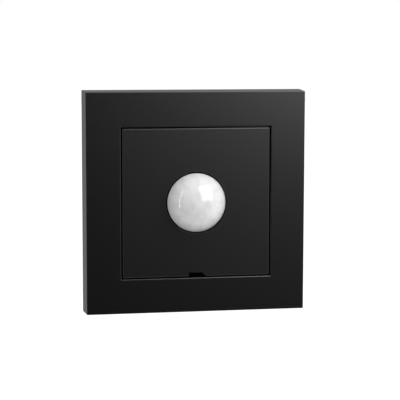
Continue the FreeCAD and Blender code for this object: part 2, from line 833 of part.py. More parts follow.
def build_claw(side, name):
    body = new_body(f"claw_{name}")
    place(body, f"{side} * claw_middle", "ring_thick / 2", "0")
    # In the claw's own frame the ring's middle is at zero and the leg runs to the rear.
    end = "(claw_length + ring_thick / 2)"
    half = "claw_thick / 2"
    leg = box_outline(f"-{half}", half, "ring_thick / 2 + 0.3", end)
    pad(body, "leg", "-claw_width / 2", "claw_width", [leg], "XY_Plane")
    tab = box_outline(f"-{half}", half, "-ring_thick / 2 - 0.3", "ring_thick / 2 + 0.3")
    pad(body, "tab", "-claw_width / 4", "claw_width / 2", [tab], "XY_Plane")
    reach = f"{side} * -1 * (claw_middle - groove_reach - fit_gap)"
    foot = box_outline("0", reach, f"{end} - claw_thick", end)
    pad(body, "foot", "-claw_width / 2", "claw_width", [foot], "XY_Plane")
    tooth_out = f"{side} * ({half} + claw_tooth)"
    skin = f"{side} * {half}"
    teeth = []
    for step in range(2):
        low = f"{end} - 1.6 - 1.6 * {step}"
        teeth.append([(skin, low), (skin, f"{low} + 1.6"), (tooth_out, f"{low} + 1.6")])
    pad(body, "teeth", "-claw_width / 2", "claw_width", teeth, "XY_Plane")
    gap = "(claw_screw_radius + fit_gap)"
    inner = f"{side} * (claw_screw_reach - claw_middle + {gap})"
    outer = f"{side} * (groove_reach - claw_middle - claw_thick)"
    fork = box_outline(outer, inner, f"-{gap}", gap)
    cut(body, "fork", f"-({end} - 2 * claw_thick)", "2.5 * claw_thick", [fork])


def build_claw_screw(side, name):
    body = new_body(f"claw_screw_{name}")
    place(body, f"{side} * claw_screw_reach", "ring_thick + 0.1", "0")
    tip = "(ring_thick + claw_length + 1.6)"
    turn(
        body,
        "screw",
        [
            ("0", "-head_height"),
            ("claw_head_radius * 0.8", "-head_height"),
            ("claw_head_radius", "-head_height * 0.6"),
            ("claw_head_radius", "0"),
            ("claw_screw_radius", "0"),
            ("claw_screw_radius", tip),
            ("claw_collar_radius", tip),
            ("claw_collar_radius", f"{tip} + 0.8"),
            ("0", f"{tip} + 0.8"),
        ],
    )
    arm = "claw_head_radius * 0.7"
    cross = [
        ("-0.35", "-0.35"), ("-0.35", f"-{arm}"), ("0.35", f"-{arm}"), ("0.35", "-0.35"),
        (arm, "-0.35"), (arm, "0.35"), ("0.35", "0.35"), ("0.35", arm),
        ("-0.35", arm), ("-0.35", "0.35"), (f"-{arm}", "0.35"), (f"-{arm}", "-0.35"),
    ]
    cut(body, "cross", "head_height", "0.9", [cross])


def build_housing():
    body = new_body("insert_housing")
    pad(body, "cup", "block_front", "housing_depth", [("0", "0", "housing_radius")])
    rear = number("-block_front")
    soften(body, "rear_edge", "1", lambda edge: all(abs(v.Y - rear) < 1e-6 for v in edge.Vertexes))
    cut(body, "hollow", "0", "-floor_inside", [("0", "0", "housing_inside")])
    walls, grooves = [], []
    for side in ("-1", "1"):
        near = f"{side} * groove_wall"
        rise = "(groove_width / 2 + housing_wall)"
        half = "groove_width / 2"
        walls.append(box_outline(near, f"{side} * (groove_reach + 1)", f"-{rise}", rise))
        grooves.append(
            box_outline(f"{side} * groove_reach", f"{side} * (housing_radius + 1)", f"-{half}", half)
        )
    pad(body, "walls", "floor_inside - 0.2", "-(floor_inside - 0.2)", walls)
    cut(body, "grooves", "0", "housing_depth", grooves)
    bosses = [("0", f"{side} * screw_rise", "screw_radius + 1.1") for side in ("-1", "1")]
    bores = [("0", f"{side} * screw_rise", "screw_radius") for side in ("-1", "1")]
    pad(body, "bosses", "-screw_length - 1", "screw_length + 1", bosses)
    cut(body, "bores", "0", "screw_length", bores)
    slots = [
        box_outline(
            f"{x} - bar_width / 2 - 0.2",
            f"{x} + bar_width / 2 + 0.2",
            "-chamber_top - bar_thick - 0.5",
            "-chamber_top - 0.1",
        )
        for x in terminal_places()
    ]
    pegs = [(f"{side} * peg_reach", "-terminal_drop", "peg_radius") for side in ("-1", "1")]
    cut(body, "floor_holes", "floor_inside", "housing_floor", slots + pegs)


def build_housing_lid():
    body = new_body("housing_lid")
    pad(body, "disc", "lid_back", "lid_thick", [("0", "0", "housing_inside - lid_gap")])
    cut(body, "sides", "lid_front", "lid_thick", [square("(2 * housing_radius)"), square("lid_side")])
    half, rise = "(link_length / 2 + fit_gap)", "(link_width / 2 + fit_gap)"
    slot = box_outline(f"-{half}", half, f"-{rise}", rise)
    cut(body, "link_slot", "lid_front", "lid_thick", [slot])


def build_power_board():
    body = new_body("power_board")
    pad(body, "disc", "power_back", "power_thick", [("0", "0", "power_radius")])
    trims = []
    for side in ("-1", "1"):
        near = f"{side} * (groove_wall - fit_gap)"
        far, rise = f"{side} * (housing_radius + 1)", "(groove_width / 2 + housing_wall + fit_gap)"
        trims.append(box_outline(near, far, f"-{rise}", rise))
    cut(body, "trims", "power_front", "power_thick", trims)


def stand_block(label, left, right, bottom, top, height):
    body = new_body(label)
    pad(body, "block", "power_front", height, [box_outline(left, right, bottom, top)])
    front = number(f"power_front + {height}")
    soften(body, "edges", "0.5", lambda edge: all(abs(v.Y + front) < 1e-6 for v in edge.Vertexes))
    return body


def build_power_parts():
    stand_block(
        "relay",
        "-relay_length / 2",
        "relay_length / 2",
        "relay_drop",
        "relay_drop + relay_width",
        "relay_height",
    )
    stand_block(
        "film_capacitor",
        "-film_left - film_length / 2",
        "-film_left + film_length / 2",
        "-film_drop - film_width / 2",
        "-film_drop + film_width / 2",
        "film_height",
    )

    can = new_body("can_capacitor")
    place(can, "can_capacitor_right", "power_front", "-can_capacitor_drop")
    turn(
        can,
        "can",
        [
            ("0", "-can_capacitor_height"),
            ("can_capacitor_radius - 0.4", "-can_capacitor_height"),
            ("can_capacitor_radius", "-can_capacitor_height + 0.4"),
            ("can_capacitor_radius", "-2.2"),
            ("can_capacitor_radius - 0.4", "-1.8"),
            ("can_capacitor_radius", "-1.4"),
            ("can_capacitor_radius", "0"),
            ("0", "0"),
        ],
    )

    choke = new_body("choke")
    place(choke, "-choke_left", "power_front", "-choke_drop")
    turn(
        choke,
        "drum",
        [
            ("0", "-choke_height"),
            ("choke_radius", "-choke_height"),
            ("choke_radius", "-choke_height + choke_rim"),
            ("choke_radius - choke_waist", "-choke_height + choke_rim"),
            ("choke_radius - choke_waist", "-choke_rim"),
            ("choke_radius", "-choke_rim"),
            ("choke_radius", "0"),
            ("0", "0"),
        ],
    )

    fuse = new_body("fuse")
    place(fuse, "fuse_right", "power_front", "-fuse_drop")
    pad(fuse, "case", "0", "fuse_height", [("0", "0", "fuse_radius")])
    front = number("-fuse_height")
    soften(fuse, "edge", "0.6", lambda edge: all(abs(v.Y - front) < 1e-6 for v in edge.Vertexes))

    varistor = new_body("varistor")
    place(varistor, "varistor_right", "power_front + varistor_radius + varistor_lift", "-varistor_drop")
    disc = ("0", "0", "varistor_radius")
    pad(varistor, "disc", "-varistor_thick / 2", "varistor_thick", [disc], "YZ_Plane")
    spread = "varistor_radius * 0.66"
    foot = box_outline("varistor_radius * 0.7", "varistor_radius + varistor_lift", f"-{spread}", spread)
    pad(varistor, "leads", "-varistor_thick / 8", "varistor_thick / 4", [foot], "YZ_Plane")

    rectifier = new_body("rectifier")
    place(rectifier, "-rectifier_left", "power_front", "rectifier_rise")
    half, rise = "rectifier_length / 2", "rectifier_width / 2"
    package = box_outline(f"-{half}", half, f"-{rise}", rise)
    pad(rectifier, "package", "0", "rectifier_height", [package])

    small = new_body("small_power_parts")
    half, rise = "chip_length / 2", "chip_width / 2"
    centres = [(f"({index} - 2.5) * chip_pitch", "power_chip_row") for index in range(6)]
    centres += [("power_chip_column", f"({index} - 1) * chip_pitch + chip_length") for index in range(4)]
    chips = []
    for x, z in centres:
        chips.append(box_outline(f"{x} - {half}", f"{x} + {half}", f"{z} - {rise}", f"{z} + {rise}"))
    pad(small, "chips", "power_front", "power_chip_height", chips)


def build_link():
    socket = new_body("link_socket")
    half, rise = "(link_length / 2)", "(socket_width / 2)"
    pad(socket, "body", "power_front", "socket_height", [box_outline(f"-{half}", half, f"-{rise}", rise)])
    cavity = box_outline(f"-{half} + 0.9", f"{half} - 0.9", "-0.9", "0.9")
    cut(socket, "cavity", "power_front + socket_height", "socket_height - 1.5", [cavity])

    strip = new_body("link_strip")
    rise = "(link_width / 2)"
    outline = box_outline(f"-{half}", half, f"-{rise}", rise)
    pad(strip, "strip", "board_back - link_strip", "link_strip", [outline])
    pins = []
    for index in range(6):
        x, side = f"({index} - 2.5) * pin_pitch", "pin_side / 2"
        pins.append(box_outline(f"{x} - {side}", f"{x} + {side}", f"-{side}", side))
    cut(strip, "holes", "board_back", "link_strip", pins)
    link_pins = new_body("link_pins")
    tip = "(power_front + 2.2)"
    pad(link_pins, "pins", tip, f"board_back - {tip}", pins)


def terminal_places():
    return [f"({index} - 1.5) * terminal_pitch" for index in range(4)]


def build_terminal_block():
    body = new_body("terminal_block")
    half = "block_width / 2"
    rear = "(block_front - chamber_depth - block_wall)"
    bottom, top = "-(chamber_bottom + block_wall)", "-(chamber_top - 1.2)"
    outline = box_outline(f"-{half}", half, bottom, top)
    pad(body, "block", rear, "chamber_depth + block_wall", [outline])
    chambers, access, entries = [], [], []
    for x in terminal_places():
        side = "chamber_width / 2"
        chambers.append(box_outline(f"{x} - {side}", f"{x} + {side}", "-chamber_bottom", "-chamber_top"))
        access.append((x, "-terminal_drop", "terminal_head + fit_gap"))
        entries.append(
            box_outline(
                f"{x} - wire_side / 2",
                f"{x} + wire_side / 2",
                "housing_depth + bar_front - wire_side + 0.4",
                "housing_depth + bar_front + 0.4",
            )
        )
    cut(body, "chambers", "block_front", "chamber_depth", chambers)
    cut(body, "access", f"{rear} + block_wall + 0.5", "block_wall + 1", access)
    cut(body, "wire_entries", "-chamber_bottom + 1", "block_wall + 2", entries, "XY_Plane")
    pegs = [(f"{side} * peg_reach", "-terminal_drop", "peg_radius") for side in ("-1", "1")]
    pad(body, "pegs", "block_front", "housing_floor", pegs)


def build_terminal(label, x):
    cage = new_body(f"terminal_cage_{label}")
    place(cage, x, "block_front - cage_front", "-terminal_drop")
    side = "cage_side / 2"
    height = "(chamber_bottom - chamber_top - 2 * fit_gap - bar_thick - bar_room)"
    outer = box_outline(f"-{side}", side, f"-{height} / 2", f"{height} / 2")
    pad(cage, "block", "-cage_side", "cage_side", [outer])
    hole = box_outline(
        f"-{side} + cage_wall", f"{side} - cage_wall", "cage_wall", "cage_side - cage_wall"
    )
    cut(cage, "wire_hole", f"{height} / 2", height, [hole], "XY_Plane")
    bore = [("0", "0", "terminal_screw + shaft_gap")]
    cut(cage, "bore", "-cage_side + cage_wall + 0.5", "cage_wall + 1", bore)

    bar = new_body(f"terminal_bar_{label}")
    place(bar, x, "block_front", "0")
    low, high = "-chamber_bottom + bar_room", "-(chamber_top + fit_gap)"
    back = "(bar_front + bar_thick)"
    profile = [
        ("bar_front", low),
        (back, low),
        (back, high),
        ("-(housing_floor + solder_gap)", high),
        ("-(housing_floor + solder_gap)", f"{high} - bar_thick"),
        ("bar_front", f"{high} - bar_thick"),
    ]
    pad(bar, "strip", "-bar_width / 2", "bar_width", [profile], "YZ_Plane")

    screw = new_body(f"terminal_screw_{label}")
    place(screw, x, "block_front", "-terminal_drop")
    tip = "(bar_front + bar_thick + 0.1)"
    seat = "(cage_front + cage_side + cage_travel + 0.7)"
    turn(
        screw,
        "screw",
        [
            ("0", tip),
            ("terminal_screw - 0.4", tip),
            ("terminal_screw", f"{tip} + 0.4"),
            ("terminal_screw", seat),
            ("terminal_head", seat),
            ("terminal_head", f"{seat} + 1"),
            ("terminal_head - 0.4", f"{seat} + 1.4"),
            ("0", f"{seat} + 1.4"),
        ],
    )
    slot = box_outline("-terminal_head * 0.85", "terminal_head * 0.85", "-0.35", "0.35")
    cut(screw, "slot", f"-({seat} + 0.6)", "1", [slot])


build_cover_frame()
build_centre_plate()
build_lens()
build_lens_retainer()
build_sensor_carrier()
build_sensor_board()
build_board_screws()
build_detector()
build_diode("light_sensor", "diode_reach")
build_diode("status_light", "-diode_reach")
build_control_chip()
build_chip_parts()
build_trimmers()
build_mode_switch()
build_support_ring()
build_ring_screws()
for sign, hand in (("-1", "left"), ("1", "right")):
    build_claw(sign, hand)
    build_claw_screw(sign, hand)
build_housing()
build_housing_lid()
build_power_board()
build_power_parts()
build_link()
build_terminal_block()
for terminal, across in zip(("line", "neutral", "load", "slave"), terminal_places()):
    build_terminal(terminal, across)

doc.recompute()
for item in doc.Objects:
    if "Invalid" in item.State or "Error" in item.State:
        raise ValueError(f"{item.Label} failed: {item.State}")
for body in pieces:
    if body.Shape.isNull() or not body.Shape.isValid():
        raise ValueError(f"{body.Label} has no valid shape")

os.makedirs("parts", exist_ok=True)
for body in pieces:
    body.Shape.exportStep(f"parts/{body.Label}.step")
print(len(pieces), "pieces written")
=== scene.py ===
import bmesh
import bpy
import json
import math
from mathutils import Matrix, Quaternion, Vector


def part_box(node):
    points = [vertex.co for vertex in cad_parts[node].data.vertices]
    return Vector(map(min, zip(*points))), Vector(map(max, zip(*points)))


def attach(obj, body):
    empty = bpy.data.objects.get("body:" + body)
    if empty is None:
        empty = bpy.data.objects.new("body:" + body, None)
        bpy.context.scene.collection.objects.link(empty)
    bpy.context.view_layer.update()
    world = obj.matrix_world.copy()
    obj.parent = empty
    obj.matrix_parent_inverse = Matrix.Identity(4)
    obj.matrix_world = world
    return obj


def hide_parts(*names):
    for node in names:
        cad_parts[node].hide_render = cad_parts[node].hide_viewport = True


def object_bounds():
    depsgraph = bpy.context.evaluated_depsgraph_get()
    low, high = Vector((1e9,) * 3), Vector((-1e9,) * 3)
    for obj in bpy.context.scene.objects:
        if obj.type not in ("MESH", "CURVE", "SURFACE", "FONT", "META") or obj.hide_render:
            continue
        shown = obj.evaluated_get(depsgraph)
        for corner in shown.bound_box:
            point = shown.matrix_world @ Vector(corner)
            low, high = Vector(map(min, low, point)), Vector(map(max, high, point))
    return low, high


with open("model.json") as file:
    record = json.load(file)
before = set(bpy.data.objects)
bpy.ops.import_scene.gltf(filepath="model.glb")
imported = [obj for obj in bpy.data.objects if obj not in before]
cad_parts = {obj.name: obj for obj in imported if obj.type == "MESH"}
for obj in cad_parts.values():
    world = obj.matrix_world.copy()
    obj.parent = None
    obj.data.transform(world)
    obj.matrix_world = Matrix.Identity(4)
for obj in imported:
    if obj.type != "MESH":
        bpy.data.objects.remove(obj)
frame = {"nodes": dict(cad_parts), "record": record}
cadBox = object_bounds()
mm = 0.001
weld = 0.0005 * mm      # points closer than this are one

# Flush motion sensor: matt black frame and plate round a milky dome, with the insert behind.
# X is right, Z is up, the front looks along -Y and the wall is the plane Y = 0.


def addNode(tree, kind, **settings):
    node = tree.nodes.new("ShaderNode" + kind)
    for key, value in settings.items():
        setattr(node, key, value)
    return node


def feed(tree, node, socket, source):
    # source is a number, a colour or another node's output
    if isinstance(source, bpy.types.NodeSocket):
        tree.links.new(source, node.inputs[socket])
    else:
        node.inputs[socket].default_value = source


def feedAll(tree, node, sources):
    for socket, source in sources.items():
        feed(tree, node, socket, source)


def maths(tree, operation, *values):
    node = addNode(tree, "Math", operation=operation)
    feedAll(tree, node, dict(enumerate(values)))
    return node.outputs[0]


def axes(tree, vector):
    # the X, Y and Z outputs of a vector
    node = addNode(tree, "SeparateXYZ")
    feed(tree, node, 0, vector)
    return node.outputs


def remap(tree, value, low, high):
    node = addNode(tree, "MapRange")
    feedAll(tree, node, {"Value": value, "To Min": low, "To Max": high})
    return node.outputs["Result"]


def soften(tree, value, start, end, low, high):
    # low up to start, high from end on, with a soft step between
    node = addNode(tree, "MapRange", interpolation_type="SMOOTHSTEP")
    feedAll(tree, node, {"Value": value, "From Min": start, "From Max": end, "To Min": low, "To Max": high})
    return node.outputs["Result"]


def blendColours(tree, factor, first, second):
    # a Mix node takes its two colours in sockets 6 and 7 and gives their blend in output 2
    node = addNode(tree, "Mix", data_type="RGBA")
    feedAll(tree, node, {0: factor, 6: first, 7: second})
    return node.outputs[2]


def cloud(tree, where, size, detail=2.0, stretch=None):
    # noise whose patches are about size millimetres across
    if stretch:
        mapping = addNode(tree, "Mapping")
        feedAll(tree, mapping, {"Vector": where, "Scale": stretch})
        where = mapping.outputs[0]
    noise = addNode(tree, "TexNoise")
    feedAll(tree, noise, {"Vector": where, "Scale": 1 / (size * mm), "Detail": detail})
    return noise.outputs["Fac"]


def addBump(tree, shader, height, depth, strength=1.0):
    bump = addNode(tree, "Bump")
    feedAll(tree, bump, {"Height": height, "Distance": depth * mm, "Strength": strength})
    feed(tree, shader, "Normal", bump.outputs[0])


def startMaterial(name):
    material = bpy.data.materials.new(name)
    material.use_nodes = True
    tree = material.node_tree
    shader = tree.nodes["Principled BSDF"]
    where = addNode(tree, "TexCoord").outputs["Object"]
    return material, tree, shader, where


def shade(colour, factor=1.0):
    return tuple(min(1.0, channel * factor) for channel in colour) + (1.0,)


# sizes are millimetres: grain is the surface texture, patch the soft change of tone across a part,
# depth how far the texture stands out
plasticLooks = {
    "black_plastic": {
        "colour": (0.0008, 0.0008, 0.0008), "roughness": (0.33, 0.365), "grain": 0.22, "depth": 0.004,
        "patch": 14.0, "change": 0.10, "gloss": 1.0, "ior": 1.6,
        # the opening's walls, behind its rounded edge, are polished
        "inner": {"reach": 29.5, "front": 9.5, "fade": 0.5, "change": -0.25},
    },
    "black_plate": {
        "colour": (0.0018, 0.0018, 0.0018), "roughness": (0.352, 0.387), "grain": 0.22, "depth": 0.004,
        "patch": 14.0, "change": 0.10, "gloss": 1.0, "ior": 1.6,
    },
    "grey_plastic": {
        "colour": (0.42, 0.43, 0.43), "roughness": (0.42, 0.52), "grain": 0.30, "depth": 0.008,
        "patch": 9.0, "change": 0.06,
    },
    "white_plastic": {
        "colour": (0.72, 0.72, 0.70), "roughness": (0.38, 0.48), "grain": 0.25, "depth": 0.005,
        "patch": 6.0, "change": 0.05,
    },
    "chip_epoxy": {
        "colour": (0.022, 0.022, 0.024), "roughness": (0.48, 0.62), "grain": 0.12, "depth": 0.006,
        "patch": 2.5, "change": 0.15,
    },
    "relay_case": {
        "colour": (0.015, 0.085, 0.24), "roughness": (0.36, 0.46), "grain": 0.20, "depth": 0.006,
        "patch": 5.0, "change": 0.08,
    },
    "film_case": {
        "colour": (0.55, 0.50, 0.36), "roughness": (0.40, 0.50), "grain": 0.20, "depth": 0.006,
        "patch": 4.0, "change": 0.08,
    },
    "fuse_case": {
        "colour": (0.11, 0.035, 0.015), "roughness": (0.36, 0.46), "grain": 0.18, "depth": 0.005,
        "patch": 4.0, "change": 0.10,
    },
    "dial_plastic": {
        "colour": (0.62, 0.20, 0.02), "roughness": (0.36, 0.46), "grain": 0.12, "depth": 0.004,
        "patch": 2.0, "change": 0.08,
    },
    "choke_sleeve": {
        "colour": (0.018, 0.018, 0.018), "roughness": (0.30, 0.42), "grain": 0.40, "depth": 0.020,
        "patch": 2.0, "change": 0.12,
    },
    "capacitor_sleeve": {
        "colour": (0.012, 0.025, 0.085), "roughness": (0.20, 0.30), "grain": 0.50, "depth": 0.008,
        "patch": 3.0, "change": 0.10,
    },
    "varistor_epoxy": {
        "colour": (0.02, 0.11, 0.34), "roughness": (0.24, 0.36), "grain": 0.60, "depth": 0.030,
        "patch": 2.0, "change": 0.10,
    },
}


def makePlastic(name, look):
    material, tree, shader, where = startMaterial(name)
    patches = cloud(tree, where, look["patch"])
    grain = cloud(tree, where, look["grain"], detail=3.0)
    dark, light = shade(look["colour"], 1 - look["change"]), shade(look["colour"], 1 + look["change"])
    feed(tree, shader, "Base Color", blendColours(tree, patches, dark, light))
    roughness = remap(tree, grain, *look["roughness"])
    if "inner" in look:
        inner = look["inner"]
        x, y, z = axes(tree, where)
        farthest = maths(tree, "MAXIMUM", maths(tree, "ABSOLUTE", x), maths(tree, "ABSOLUTE", z))
        inside = maths(tree, "LESS_THAN", farthest, inner["reach"] * mm)
        start, end = -inner["front"] * mm, (inner["fade"] - inner["front"]) * mm
        deep = soften(tree, y, start, end, 0.0, inner["change"])
        roughness = maths(tree, "MULTIPLY_ADD", inside, deep, roughness)
    feed(tree, shader, "Roughness", roughness)
    feed(tree, shader, "Specular IOR Level", look.get("gloss", 0.5))
    feed(tree, shader, "IOR", look.get("ior", 1.5))
    addBump(tree, shader, grain, look["depth"])
    return material


# spangle is a patch of the second colour, stroke a brush mark, and brush squeezes the marks along X, Y, Z
metalLooks = {
    "zinc_steel": {
        "colour": (0.66, 0.66, 0.65), "tint": (0.42, 0.45, 0.51), "roughness": (0.26, 0.50), "spangle": 2.6,
        "stroke": 0.35, "brush": (1.0, 1.0, 14.0), "depth": 0.004, "metallic": 0.55,  # a milky passivation
    },
    "nickel": {
        "colour": (0.66, 0.63, 0.58), "tint": (0.60, 0.58, 0.55), "roughness": (0.16, 0.28), "spangle": 3.0,
        "stroke": 0.35, "brush": (1.0, 1.0, 1.0), "depth": 0.004,
    },
    "brass": {
        "colour": (0.72, 0.50, 0.20), "tint": (0.60, 0.38, 0.14), "roughness": (0.24, 0.38), "spangle": 2.0,
        "stroke": 0.35, "brush": (1.0, 8.0, 1.0), "depth": 0.004,
    },
}


def makeMetal(name, look):
    material, tree, shader, where = startMaterial(name)
    patches = cloud(tree, where, look["spangle"], detail=3.0)
    strokes = cloud(tree, where, look["stroke"], stretch=look["brush"])
    feed(tree, shader, "Metallic", look.get("metallic", 1.0))
    feed(tree, shader, "Base Color", blendColours(tree, patches, shade(look["colour"]), shade(look["tint"])))
    feed(tree, shader, "Roughness", remap(tree, strokes, *look["roughness"]))
    addBump(tree, shader, strokes, look["depth"])
    return material


clearLooks = {
    "filter_glass": {
        "colour": (0.03, 0.012, 0.012), "change": (0.8, 1.3), "roughness": (0.08, 0.14),
        "patch": 0.8, "transmission": 0.0,
    },
    "clear_epoxy": {
        "colour": (0.80, 0.84, 0.84), "change": (0.92, 1.05), "roughness": (0.10, 0.18),
        "patch": 1.2, "transmission": 0.6,
    },
}


def makeClear(name, look):
    material, tree, shader, where = startMaterial(name)
    patches = cloud(tree, where, look["patch"])
    dark, light = (shade(look["colour"], factor) for factor in look["change"])
    feed(tree, shader, "Base Color", blendColours(tree, patches, dark, light))
    feed(tree, shader, "Roughness", remap(tree, patches, *look["roughness"]))
    feed(tree, shader, "Transmission Weight", look["transmission"])
    return material


boardLook = {
    "mask": (0.010, 0.075, 0.035),
    "track": (0.018, 0.135, 0.060),
    "trackPitch": 1.6,      # mm between copper tracks
    "trackShare": 0.55,
    "trackHeight": 0.02,    # mm
    "trackRelief": 0.6,     # strength of the bump
    "area": 6.0,            # mm across a patch whose tracks run one way
    "grain": 0.5,
    "roughness": (0.28, 0.40),
}


def makeBoard(name, look):
    # green mask with paler stripes where copper tracks lie under it, running two ways in patches
    material, tree, shader, where = startMaterial(name)
    place = axes(tree, where)
    tracks = []
    for axis in (0, 2):
        turns = maths(tree, "MULTIPLY", place[axis], 1 / (look["trackPitch"] * mm))
        tracks.append(maths(tree, "GREATER_THAN", maths(tree, "FRACT", turns), look["trackShare"]))
    area = maths(tree, "GREATER_THAN", cloud(tree, where, look["area"], detail=0.0), 0.5)
    choice = addNode(tree, "Mix", data_type="FLOAT")
    feedAll(tree, choice, {0: area, 2: tracks[0], 3: tracks[1]})
    pattern = choice.outputs[0]
    feed(tree, shader, "Base Color", blendColours(tree, pattern, shade(look["mask"]), shade(look["track"])))
    feed(tree, shader, "Roughness", remap(tree, cloud(tree, where, look["grain"]), *look["roughness"]))
    addBump(tree, shader, pattern, look["trackHeight"], look["trackRelief"])
    return material


# The dome is moulded in milky plastic. Inside, a middle ring, a wide ring and a rim of small lenses
# show through it as soft lighter and darker patches.
domeLook = {
    "pale": (0.83, 0.83, 0.825),
    "deep": (0.58, 0.58, 0.58),
    "gapShade": (0.012, 0.012, 0.012),   # painted shade: the rim below the plate's front is coloured near black in place of the gap's shade
    "gapShadeTop": 9.9,                  # forward distance of the painted shade's edge, mm
    "gapShadeFade": 0.2,
    "roughness": (0.07, 0.12),
    "grain": 1.0,
    "ior": 1.54,
    "coat": 0.6,                      # a second polished layer
    "glow": 0.30,                     # share of light that travels through the wall
    "glowReach": 1.4,                 # mm
    "waver": 1.7,                     # how far the seams wander, mm
    "waverSize": 3.0,
    "mottle": 0.36,
    "mottleSize": 2.2,
    # phase is degrees, middle and half width are mm, seam is where a small lens starts to fade and
    # seamEnd where it has faded, as shares of its width from its middle
    "rim": {"count": 12, "phase": 20.5, "middle": 8.3, "half": 2.3, "seam": 0.12, "strength": -0.42},
    "core": {"count": 4, "phase": 3.0, "middle": 2.7, "half": 2.2, "seam": 0.22, "strength": 0.30},
    "seamEnd": 0.48,
    "flat": 0.2,                      # share of a ring's half width at full strength
    "coreFade": (-3.2, -1.0, 0.5),    # mm, mm and share: the core is weaker below its middle
    "rimShade": (6.2, 8.5, 0.08),     # mm, mm and change: the outer ring is a little darker
}


def makeMilky(name, look):
    material, tree, shader, where = startMaterial(name)
    ripple = addNode(tree, "TexNoise")
    feedAll(tree, ripple, {"Vector": where, "Scale": 1 / (look["waverSize"] * mm)})
    centred = addNode(tree, "VectorMath", operation="SUBTRACT")
    feedAll(tree, centred, {0: ripple.outputs["Color"], 1: (0.5, 0.5, 0.5)})
    moved = addNode(tree, "VectorMath", operation="MULTIPLY_ADD")
    feedAll(tree, moved, {0: centred.outputs[0], 1: (2 * look["waver"] * mm,) * 3, 2: where})
    place = axes(tree, moved.outputs[0])
    x, z = place[0], place[2]
    squares = [maths(tree, "MULTIPLY", axis, axis) for axis in (x, z)]
    radius = maths(tree, "SQRT", maths(tree, "ADD", *squares))
    turns = maths(tree, "MULTIPLY", maths(tree, "ARCTAN2", z, x), 1 / (2 * math.pi))

    def lensRing(ring):
        # strongest in the middle of each small lens, nothing at its seams
        shifted = maths(tree, "ADD", maths(tree, "MULTIPLY", turns, ring["count"]),
                        0.5 - ring["phase"] / 360 * ring["count"])
        across = maths(tree, "ABSOLUTE", maths(tree, "SUBTRACT", maths(tree, "FRACT", shifted), 0.5))
        along = maths(tree, "ABSOLUTE", maths(tree, "SUBTRACT", radius, ring["middle"] * mm))
        half = ring["half"] * mm
        band = soften(tree, along, half * look["flat"], half, ring["strength"], 0.0)
        return maths(tree, "MULTIPLY", soften(tree, across, ring["seam"], look["seamEnd"], 1.0, 0.0), band)

    low, high, share = look["coreFade"]
    core = maths(tree, "MULTIPLY", lensRing(look["core"]), soften(tree, z, low * mm, high * mm, share, 1.0))
    tone = maths(tree, "ADD", core, lensRing(look["rim"]))
    mottle = cloud(tree, where, look["mottleSize"])
    tone = maths(tree, "ADD", tone, maths(tree, "MULTIPLY", mottle, look["mottle"]))
    start, end, change = look["rimShade"]
    tone = maths(tree, "ADD", tone, soften(tree, radius, start * mm, end * mm, 0.0, change))
    milky = blendColours(tree, tone, shade(look["pale"]), shade(look["deep"]))
    # painted shade: below the plate's front the dome's colour fades to near black, standing in for the shade
    # in the gap
    top, bottom = -look["gapShadeTop"] * mm, (look["gapShadeFade"] - look["gapShadeTop"]) * mm
    gapShadeMask = soften(tree, axes(tree, where)[1], top, bottom, 0.0, 1.0)
    feedAll(tree, shader, {
        "Base Color": blendColours(tree, gapShadeMask, milky, shade(look["gapShade"])),
        "Roughness": remap(tree, cloud(tree, where, look["grain"]), *look["roughness"]),
        "IOR": look["ior"],
        "Coat Weight": look["coat"],
        "Subsurface Weight": look["glow"],
        "Subsurface Radius": (1.0, 1.0, 1.0),
        "Subsurface Scale": look["glowReach"] * mm,
    })
    return material


print("finishes")
finishes = {name: makePlastic(name, look) for name, look in plasticLooks.items()}
finishes.update({name: makeMetal(name, look) for name, look in metalLooks.items()})
finishes.update({name: makeClear(name, look) for name, look in clearLooks.items()})
finishes["circuit_board"] = makeBoard("circuit_board", boardLook)
finishes["milky_plastic"] = makeMilky("milky_plastic", domeLook)
for subpart in frame["record"]["subparts"]:
    node = frame["nodes"][subpart["node"]]
    node.data.materials.clear()
    node.data.materials.append(finishes[subpart["material_slot"]])
plate = frame["nodes"]["centre_plate"]
plate.data.materials[0] = finishes["black_plate"]      # the plate is a touch duller than the frame


def addPiece(name, mesh, slotName, body, node):
    piece = bpy.data.objects.new(name, mesh)
    bpy.context.scene.collection.objects.link(piece)
    mesh.materials.append(finishes[slotName])
    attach(piece, body)
    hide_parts(node)
    return piece


def finishMesh(shape, name, smoothAngle=30.0):
    bmesh.ops.remove_doubles(shape, verts=shape.verts, dist=weld)
    bmesh.ops.recalc_face_normals(shape, faces=shape.faces)
    mesh = bpy.data.meshes.new(name)
    shape.to_mesh(mesh)
    shape.free()
    for face in mesh.polygons:
        face.use_smooth = True
    mesh.set_sharp_from_angle(angle=math.radians(smoothAngle))
    return mesh


def spinOutline(shape, points, steps):
    # points are (distance from the axis, forward distance) in millimetres; the axis runs along Y
    verts = [shape.verts.new((radius * mm, -forward * mm, 0)) for radius, forward in points]
    edges = [shape.edges.new(pair) for pair in zip(verts, verts[1:])]
    bmesh.ops.spin(shape, geom=verts + edges, cent=(0, 0, 0), axis=(0, 1, 0), angle=2 * math.pi,
                   steps=steps, use_merge=True, use_duplicate=False)
    bmesh.ops.remove_doubles(shape, verts=shape.verts, dist=weld)


lensSizes = {
    "radius": 10.8,       # mm, where the dome meets the plate
    "height": 8.0,
    "front": 10.0,        # forward distance of the plate's front
    "seat": 7.4,          # back of the plate
    "flangeRadius": 12.6,
    "flangeBack": 6.4,
    "wall": 0.7,
    "lensBulge": 0.16,    # how far each small lens swells from the inner wall
    "lensStart": 1.5,     # how far behind the plate's front the small lenses start
    "margin": 0.05,       # points this close to the inner wall belong to it
    # outer edge of each ring of small lenses, how many it has and where the first one lies (degrees)
    "lensRings": ((4.4, 4, 3.0), (6.6, 8, 0.0), (10.2, 12, 20.5)),
    "steps": 96,
    "arcSteps": 40,
    "smoothAngle": 40.0,
}


